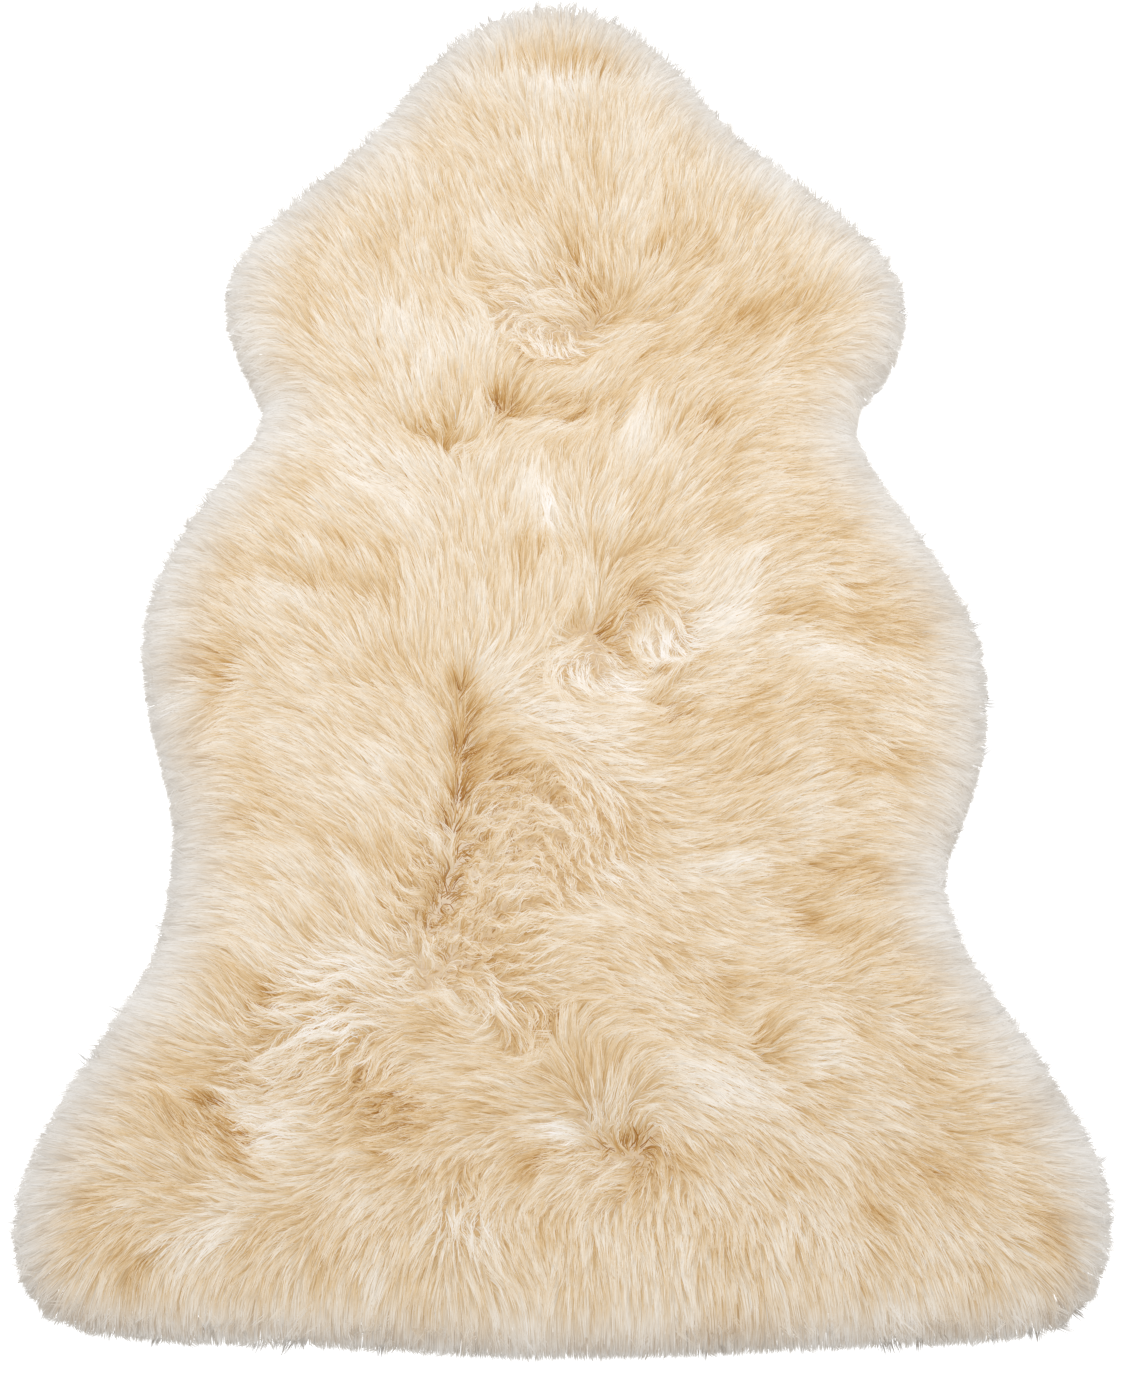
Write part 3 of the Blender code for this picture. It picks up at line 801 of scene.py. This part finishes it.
        # neighbours swing together, more and in tighter bends where the wool curls
        swing = maths("MULTIPLY", given["Swing"], noiseAt(place, varySpec["swingPatch"]))
        wave = maths("MULTIPLY", given["Wave"], noiseAt(place, varySpec["wavePatch"]))
        bend = noiseAt(vectors("ADD", place, ownWay), varySpec["curlPatch"])
        bend = maths("MULTIPLY", bend, maths("MULTIPLY", given["Curl"], curl))
        angle = maths("ADD", maths("ADD", scatter, wave), maths("ADD", swing, bend))
        angle = maths("MULTIPLY", angle, lessAtRim(looseSpec["turning"]))
        way = addNode(tree, "ShaderNodeVectorRotate", {"rotation_type": "AXIS_ANGLE"}, {
            "Vector": directionAt("woolComb", place), "Axis": directionAt("woolUp", place),
            "Angle": angle})
        if rung > 1:
            way = vectors("ADD", way, vectors("SCALE", lastWay, Scale=varySpec["keptWay"]))
            way = vectors("NORMALIZE", way)
        lastWay = way
        ahead = vectors("ADD", place, vectors("SCALE", way, Scale=rungStep))
        locks = store(locks, f"woolFoot{rung}", onSurface(position, ahead))
        foot = named(f"woolFoot{rung}", "FLOAT_VECTOR")
        rise = maths("SUBTRACT", lockRise, onSurface(named("woolSink"), foot, "FLOAT"))
        height = maths("MULTIPLY", given["Pile depth"], ribbon["climb"][rung - 1])
        height = maths("MULTIPLY", height, rise)
        up = directionAt("woolUp", foot)
        lifted = vectors("ADD", foot, vectors("SCALE", up, Scale=height))
        guide = vectors("SUBTRACT", lifted, named("woolRoot", "FLOAT_VECTOR"))
        if rung > 1:
            leastStep = maths("MULTIPLY", rungStep, varySpec["lockOnward"])
            guide = keptOnward(guide, "woolGuide", rung, up, leastStep)
        locks = store(locks, f"woolGuide{rung}", guide)
        if rung == rungCount // 2:
            locks = store(locks, "woolTop", up)
        place = foot
    locks = store(locks, "woolLockTint", scattered(1.0, "lock tints"), "FLOAT")

    # the fibres follow the guide of the lock that they are nearest to
    density = maths("MULTIPLY", given["Fibres per square metre"], ribbon["densityShare"])
    fibres = addNode(tree, "GeometryNodeDistributePointsOnFaces", {"distribute_method": "RANDOM"}, {
        "Mesh": surface, "Selection": grows, "Density": density, "Seed": seedOf("fibre places")})
    height = addNode(tree, "ShaderNodeSeparateXYZ", None, {0: position}).node.outputs["Y"]
    here = maths("MULTIPLY", maths("GREATER_THAN", height, given["From station"]),
                 maths("LESS_THAN", height, maths("ADD", given["To station"], 1e-7)))
    mixed = addNode(tree, "ShaderNodeMapRange", {"interpolation_type": "SMOOTHSTEP"},
                    {"Value": curl, "From Min": varySpec["curlFrom"], "From Max": varySpec["curlTo"]})
    draw = randomValue(0.001, 0.999, "curled or combed")
    here = maths("MULTIPLY", here, maths("LESS_THAN" if curled else "GREATER_THAN", draw, mixed))
    fibres = addNode(tree, "GeometryNodeSeparateGeometry", {"domain": "POINT"},
                     {"Geometry": fibres, "Selection": here})
    nearest = addNode(tree, "GeometryNodeSampleNearest", {"domain": "POINT"},
                      {"Geometry": locks, "Sample Position": position})

    def fromLock(name, kind="FLOAT_VECTOR"):
        return addNode(tree, "GeometryNodeSampleIndex", {"data_type": kind, "domain": "POINT"},
                       {"Geometry": locks, "Value": named(name, kind), "Index": nearest})

    toLock = vectors("SUBTRACT", fromLock("woolRoot"), position)
    toLock = vectors("SCALE", toLock, Scale=lessAtRim(looseSpec["gathered"]))
    reach = scattered(varySpec["reachScatter"], "reaches")
    reach = maths("ADD", maths("MULTIPLY", reach, lessAtRim(looseSpec["reach"])), varySpec["meanReach"])
    frizz = randomVector(1.0, "frizz")
    facing = vectors("ADD", fromLock("woolTop"), vectors("SCALE", frizz, Scale=given["Facing scatter"]))
    upward = maths("ADD", maths("MULTIPLY", loose, looseSpec["facingUp"]), varySpec["facingUp"])
    upward = addNode(tree, "ShaderNodeCombineXYZ", None, {"Z": upward})
    facing = vectors("ADD", facing, upward)
    fibres = store(fibres, "woolFacing", vectors("NORMALIZE", facing))
    facing = named("woolFacing", "FLOAT_VECTOR")
    fibres = store(fibres, "woolRung0", position)
    leastStep = maths("MULTIPLY", given["Lock length"], varySpec["fibreOnward"] / (rungCount - 1))
    for rung in range(1, rungCount):
        pull = ribbon["pull"][rung - 1] * ribbon["pullShare"]
        pull = maths("MULTIPLY", given["Lock pull"], pull)
        place = vectors("ADD", position, vectors("SCALE", fromLock(f"woolGuide{rung}"), Scale=reach))
        place = vectors("ADD", place, vectors("SCALE", toLock, Scale=pull))
        stray = maths("MULTIPLY", given["Frizz"], ribbon["stray"][rung - 1])
        place = vectors("ADD", place, vectors("SCALE", frizz, Scale=stray))
        if rung > 1:
            place = keptOnward(place, "woolRung", rung, facing, leastStep)
        fibres = store(fibres, f"woolRung{rung}", place)
    thick = randomValue(*varySpec["thickness"], "thicknesses")
    thick = maths("MULTIPLY", given["Fibre width"], thick)
    thick = maths("MULTIPLY", thick, maths("ADD", 1.0, maths("MULTIPLY", loose, looseSpec["thicker"])))
    for rung in range(rungCount - 1):
        ahead = vectors("SUBTRACT", named(f"woolRung{rung + 1}", "FLOAT_VECTOR"),
                        named(f"woolRung{max(rung - 1, 0)}", "FLOAT_VECTOR"))
        side = vectors("NORMALIZE", vectors("CROSS_PRODUCT", facing, ahead))
        fibres = store(fibres, f"woolBreadth{rung}", vectors("SCALE", side, Scale=thick))
    tint = maths("MULTIPLY", fromLock("woolLockTint", "FLOAT"), ribbon["lockTint"])
    tint = maths("ADD", tint, scattered(tintSpec["fibreScatter"], "fibre tints"))
    tint = maths("ADD", tint, maths("MULTIPLY", fromLock("woolWaves", "FLOAT"), tintSpec["waves"]))
    # the patches' tone and painted light and shade
    tint = maths("ADD", tint, maths("MULTIPLY", named("woolToneAndPaintedLight"), tintSpec["patches"]))
    fibres = store(fibres, "woolTint", maths("ADD", tint, tintSpec["middle"]), "FLOAT")
    bleachAndRimPaintedLight = maths("POWER", randomValue(0.0, 1.0, "bleachAndRimPaintedLight"), tintSpec["bleachedPower"])
    fibres = store(fibres, "woolBleached", bleachAndRimPaintedLight, "FLOAT")

    # the ribbon: a strip of rungs along X whose last rung is merged to a tip
    strip = addNode(tree, "GeometryNodeMeshGrid", None, {
        "Size X": 1.0, "Size Y": 1.0, "Vertices X": rungCount, "Vertices Y": 2})
    across = addNode(tree, "ShaderNodeSeparateXYZ", None, {0: position}).node.outputs
    along = maths("ADD", across["X"], 0.5)
    narrow = maths("SUBTRACT", 1.0, maths("POWER", along, 2.0))
    strip = store(strip, "woolAlong", along, "FLOAT")
    strip = store(strip, "woolAcross", maths("MULTIPLY", across["Y"], narrow), "FLOAT")
    strip = addNode(tree, "GeometryNodeSetPosition", None, {
        "Geometry": strip, "Selection": maths("GREATER_THAN", along, 0.99),
        "Position": (0.5, 0.0, 0.0)})
    strip = addNode(tree, "GeometryNodeMergeByDistance", None, {"Geometry": strip, "Distance": 1e-4})

    wool = addNode(tree, "GeometryNodeInstanceOnPoints", None, {"Points": fibres, "Instance": strip})
    wool = addNode(tree, "GeometryNodeRealizeInstances", None, {"Geometry": wool})
    along = named("woolAlong")

    def atRung(name, count):
        # the attribute of the rung that a vertex of the ribbon belongs to
        value = named(f"{name}0", "FLOAT_VECTOR")
        for rung in range(1, count):
            reached = maths("GREATER_THAN", along, (rung - 0.5) / (rungCount - 1))
            value = addNode(tree, "GeometryNodeSwitch", {"input_type": "VECTOR"}, {
                "Switch": reached, "False": value, "True": named(f"{name}{rung}", "FLOAT_VECTOR")})
        return value

    place = vectors("ADD", atRung("woolRung", rungCount),
                    vectors("SCALE", atRung("woolBreadth", rungCount - 1), Scale=named("woolAcross")))
    place = vectors("MAXIMUM", place, (-9.0, -9.0, varySpec["lowest"]))
    wool = addNode(tree, "GeometryNodeSetPosition", None, {"Geometry": wool, "Position": place})
    # golden at the roots, and grey in a few bleached fibres and all round the rim, where the grey is
    # painted light and shade, painted darker still on the tail's steep side
    grey = onSurface(named("woolRimPaintedLight"), position, "FLOAT")
    tail = onSurface(named("woolTailShadeMask"), position, "FLOAT")
    rooted = addNode(tree, "ShaderNodeMapRange", {"interpolation_type": "SMOOTHSTEP"}, {
        "Value": along, "From Min": tintSpec["rootFrom"], "From Max": tintSpec["rootTo"],
        "To Min": tintSpec["rootGold"], "To Max": 0.0})
    # painted shade on the tail's steep side, less towards the fibres' tips
    fading = maths("MULTIPLY_ADD", along, tintSpec["tailFade"], tintSpec["tailShade"])
    inShade = maths("MULTIPLY", tail, fading)
    tint = maths("SUBTRACT", maths("ADD", named("woolTint"), rooted), maths("MULTIPLY", inShade, grey))
    tint = addNode(tree, "ShaderNodeClamp", None,
                   {"Value": tint, "Min": tintSpec["least"], "Max": tintSpec["most"]})
    # bleached fibres and the rim's painted light and shade both turn the wool grey
    bleachAndRimPaintedLight = maths("MAXIMUM", grey, named("woolBleached"))
    bleachAndRimPaintedLight = maths("MULTIPLY_ADD", bleachAndRimPaintedLight, tintSpec["greySpan"], tintSpec["greyFrom"])
    across = maths("MULTIPLY", named("woolAcross"), tintSpec["acrossSpan"])
    shadeAt = addNode(tree, "ShaderNodeCombineXYZ", None, {
        "X": maths("ADD", tint, maths("MULTIPLY", along, tintSpec["alongSpan"])),
        "Y": maths("ADD", bleachAndRimPaintedLight, across)})
    wool = addNode(tree, "GeometryNodeStoreNamedAttribute", {"data_type": "FLOAT2", "domain": "CORNER"},
                   {"Geometry": wool, "Name": "OFBake", "Value": shadeAt})
    # wool scatters light so much that it shades by the coat's form and not by each fibre's own side
    wool = addNode(tree, "GeometryNodeSetShadeSmooth", None, {"Geometry": wool})
    wool = addNode(tree, "GeometryNodeSetMeshNormal", {"mode": "FREE"},
                   {"Mesh": wool, "Custom Normal": named("woolFacing", "FLOAT_VECTOR")})
    wool = addNode(tree, "GeometryNodeRemoveAttribute", {"pattern_mode": "WILDCARD"},
                   {"Geometry": wool, "Name": "wool*"})
    wool = addNode(tree, "GeometryNodeSetMaterial", None, {"Geometry": wool, "Material": material})
    tree.links.new(wool, tree.nodes.new("NodeGroupOutput").inputs["Geometry"])
    return tree


def newMaterial(name, roughness):
    # a material, its node tree and its shader
    material = bpy.data.materials.new(name)
    material.use_nodes = True
    shader = material.node_tree.nodes["Principled BSDF"]
    shader.inputs["Roughness"].default_value = roughness
    return material, material.node_tree, shader


def rampNode(tree, factor, stops):
    # a colour ramp with given stops of (place, hex colour)
    socket = addNode(tree, "ShaderNodeValToRGB", None, {0: factor})
    elements = socket.node.color_ramp.elements
    for element, (place, code) in zip((elements[0], elements[-1]), (stops[0], stops[-1])):
        element.position, element.color = place, hexColour(code)
    for place, code in stops[1:-1]:
        elements.new(place).color = hexColour(code)
    return socket


def combedWool():
    # dressed sheep's wool, washed and combed but not dyed: matt with hardly a gloss, golden with lanolin
    # at the roots, lighter at the tips
    material, tree, shader = newMaterial("combed sheep's wool", 0.9)
    fibreMap = addNode(tree, "ShaderNodeUVMap", {"uv_map": "OFBake"})
    parts = addNode(tree, "ShaderNodeSeparateXYZ", None, {0: fibreMap}).node.outputs
    cream = rampNode(tree, parts["X"], (
        (0.03, "#94632D"), (0.23, "#B28A53"), (0.42, "#CAB08A"), (0.65, "#D8CDBD"), (0.84, "#DFD9D2"),
        (0.98, "#E5E1E0")))
    # grey wool, for bleached fibres and for the rim's painted light and shade
    bleachAndRimPaintedLight = rampNode(tree, parts["X"], ((0.15, "#AEA69B"), (0.65, "#D3D0CC"), (0.90, "#E4E3E3")))
    share = addNode(tree, "ShaderNodeMapRange", None,
                    {"Value": parts["Y"], "From Min": 0.05, "From Max": 0.95})
    colour = addNode(tree, "ShaderNodeMix", {"data_type": "RGBA"},
                     {"Factor": share, "A": cream, "B": bleachAndRimPaintedLight})
    tree.links.new(colour, shader.inputs["Base Color"])
    shader.inputs["Specular IOR Level"].default_value = 0.1
    return material


def crimpedUndercoat():
    # the dense crimped wool near the skin, golden with lanolin
    material, tree, shader = newMaterial("crimped undercoat wool", 0.9)
    place = addNode(tree, "ShaderNodeTexCoord").node.outputs["Object"]
    crimp = addNode(tree, "ShaderNodeTexNoise", None,
                    {"Vector": place, "Scale": 1 / (2.5 * mm), "Detail": 3.0})
    golden = rampNode(tree, crimp, ((0.3, "#A47C46"), (0.7, "#C3A06B")))
    height = addNode(tree, "ShaderNodeSeparateXYZ", None, {0: place}).node.outputs["Z"]
    lowDown = addNode(tree, "ShaderNodeMapRange", None, {
        "Value": height, "From Min": 34 * mm, "From Max": 12 * mm})  # paler and greyer towards the floor, like the rim wool over it
    colour = addNode(tree, "ShaderNodeMix", {"data_type": "RGBA"},
                     {"Factor": lowDown, "A": golden, "B": hexColour("#D9D3C9")})
    tree.links.new(colour, shader.inputs["Base Color"])
    bump = addNode(tree, "ShaderNodeBump", None, {"Height": crimp, "Strength": 0.6, "Distance": 1 * mm})
    tree.links.new(bump, shader.inputs["Normal"])
    return material


def growWool(tree, name, pieceCount):
    # the same tree once for each stretch of the rug, so that no piece gets too many triangles
    identifiers = {item.name: item.identifier for item in tree.interface.items_tree
                   if item.in_out == "INPUT"}
    mesh = growSurface.data
    centres = readVectors(mesh.polygons, "center")
    areas = np.empty(len(mesh.polygons), np.float32)
    mesh.polygons.foreach_get("area", areas)
    areas[readVectors(mesh.polygons, "normal")[:, 2] < rimSpec["steepest"]] = 0
    order = np.argsort(centres[:, 1])
    grown = np.cumsum(areas[order])
    cuts = [centres[order[np.searchsorted(grown, grown[-1] * share / pieceCount)], 1]
            for share in range(1, pieceCount)]
    stations = [-1.0] + [round(float(cut), 4) for cut in cuts] + [1.0]
    pieces = []
    for number, (low, high) in enumerate(zip(stations, stations[1:]), 1):
        grow = growSurface.modifiers.new("wool", "NODES")
        grow.node_group = tree
        for field, value in {**woolSpec, "From station": low, "To station": high}.items():
            grow[identifiers[field]] = value
        pieceName = f"{name}{number}"
        piece = newObject(pieceName, bakedMesh(growSurface, pieceName))
        growSurface.modifiers.remove(grow)
        pieces.append(piece)
        print(f"{pieceName}: {len(piece.data.loops) - 2 * len(piece.data.polygons)} triangles")
    return pieces


wool = combedWool()
woolPieces = growWool(woolTree(wool, "combed wool", combedSpec), "combedWool", 5)
woolPieces += growWool(woolTree(wool, "curled wool", curledSpec), "curledWool", 1)
bpy.data.objects.remove(growSurface)
undercoat.data.materials.append(crimpedUndercoat())
undercoat.data.shade_smooth()


# the hide
hideSpec = {
    "thickness": 2.0 * mm,
    "inset": 14 * mm,        # in from where the wool meets the floor
    "floorGap": 0.3 * mm,
}


def suedeHide():
    # vegetable-tanned skin, its flesh side buffed to suede: matt with a soft mottle and a short nap
    material, tree, shader = newMaterial("buffed suede", 0.92)
    place = addNode(tree, "ShaderNodeTexCoord").node.outputs["Object"]
    mottle = addNode(tree, "ShaderNodeTexNoise", None,
                     {"Vector": place, "Scale": 1 / (45 * mm), "Detail": 5.0, "Roughness": 0.6})
    colour = rampNode(tree, mottle, ((0.3, "#D8C6A6"), (0.7, "#E9DCC4")))
    nap = addNode(tree, "ShaderNodeTexNoise", None, {"Vector": place, "Scale": 1 / (0.8 * mm)})
    bump = addNode(tree, "ShaderNodeBump", None, {"Height": nap, "Strength": 0.4, "Distance": 0.2 * mm})
    tree.links.new(colour, shader.inputs["Base Color"])
    tree.links.new(bump, shader.inputs["Normal"])
    shader.inputs["Sheen Weight"].default_value = 0.2
    return material


def makeHide():
    before, after = np.roll(edgeRing, 1, axis=0), np.roll(edgeRing, -1, axis=0)
    tangent = unit(after - before)
    inward = np.column_stack((-tangent[:, 1], tangent[:, 0]))
    ring = edgeRing + inward * hideSpec["inset"]
    low = hideSpec["floorGap"]
    work = bmesh.new()
    corners = [work.verts.new((x, y, low)) for x, y in ring]
    face = work.faces.new(corners)
    if face.normal.z > 0:
        face.normal_flip()
    raised = bmesh.ops.extrude_face_region(work, geom=[face])
    top = [item for item in raised["geom"] if isinstance(item, bmesh.types.BMVert)]
    bmesh.ops.translate(work, verts=top, vec=(0, 0, hideSpec["thickness"]))
    bmesh.ops.triangulate(work, faces=work.faces[:])
    bmesh.ops.recalc_face_normals(work, faces=work.faces[:])
    mesh = bpy.data.meshes.new("hide")
    work.to_mesh(mesh)
    work.free()
    nextRing = np.roll(ring, -1, axis=0)
    area = 0.5 * abs(np.sum(ring[:, 0] * nextRing[:, 1] - nextRing[:, 0] * ring[:, 1]))
    mesh.materials.append(suedeHide())
    return newObject("hide", mesh), ring.max(0) - ring.min(0), float(area)


hide, hideSize, hideArea = makeHide()
print("hide", [round(float(side), 3) for side in hideSize], round(hideArea, 3))


# camera, light and floor
studioSpec = {
    "floorHalf": 4,          # metres from the middle to the paper's edge
    "lampPlace": (0.0, 0.2, 1.25),
    "lampSize": 1.3,
    "lampPower": 11.5,       # watts
    "worldStrength": 0.85,
}


def makeCamera():
    data = bpy.data.cameras.new("camera")
    data.sensor_fit = "HORIZONTAL"
    data.sensor_width = cameraSpec["sensorWidth"]
    data.lens = cameraSpec["lens"]
    data.dof.use_dof = False
    data.clip_end = cameraSpec["farthest"]
    camera = newObject("camera", data)
    camera.location = cameraSpec["location"]
    camera.rotation_euler = (math.radians(90 - cameraSpec["elevation"]), 0, 0)
    bpy.context.scene.camera = camera


def makeStudio():
    floorMesh = bpy.data.meshes.new("floor")
    work = bmesh.new()
    bmesh.ops.create_grid(work, x_segments=1, y_segments=1, size=studioSpec["floorHalf"])
    work.to_mesh(floorMesh)
    work.free()
    floor = newObject("floor", floorMesh)
    paper, _, shader = newMaterial("matt white paper", 0.9)
    shader.inputs["Base Color"].default_value = hexColour("#FCFCFC")
    floorMesh.materials.append(paper)
    light = bpy.data.lights.new("overhead softbox", "AREA")
    light.shape = "SQUARE"
    light.size = studioSpec["lampSize"]
    light.energy = studioSpec["lampPower"]
    lamp = newObject("overhead softbox", light)
    lamp.location = studioSpec["lampPlace"]
    lamp.rotation_euler = (-lamp.location).to_track_quat("-Z", "Y").to_euler()
    world = bpy.data.worlds.new("studio")
    world.use_nodes = True
    background = world.node_tree.nodes["Background"]
    background.inputs["Color"].default_value = hexColour("#FFFFFF")
    background.inputs["Strength"].default_value = studioSpec["worldStrength"]
    bpy.context.scene.world = world
    bpy.context.scene.view_settings.view_transform = "Standard"


makeCamera()
makeStudio()
print("camera and studio")

for piece in (hide, undercoat, *woolPieces):
    # a choice of looks: no piece shades or tints what is round it, which keeps the rim pale
    piece.visible_shadow = piece.visible_diffuse = False
    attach(piece, "root")
    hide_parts("sheepskin")
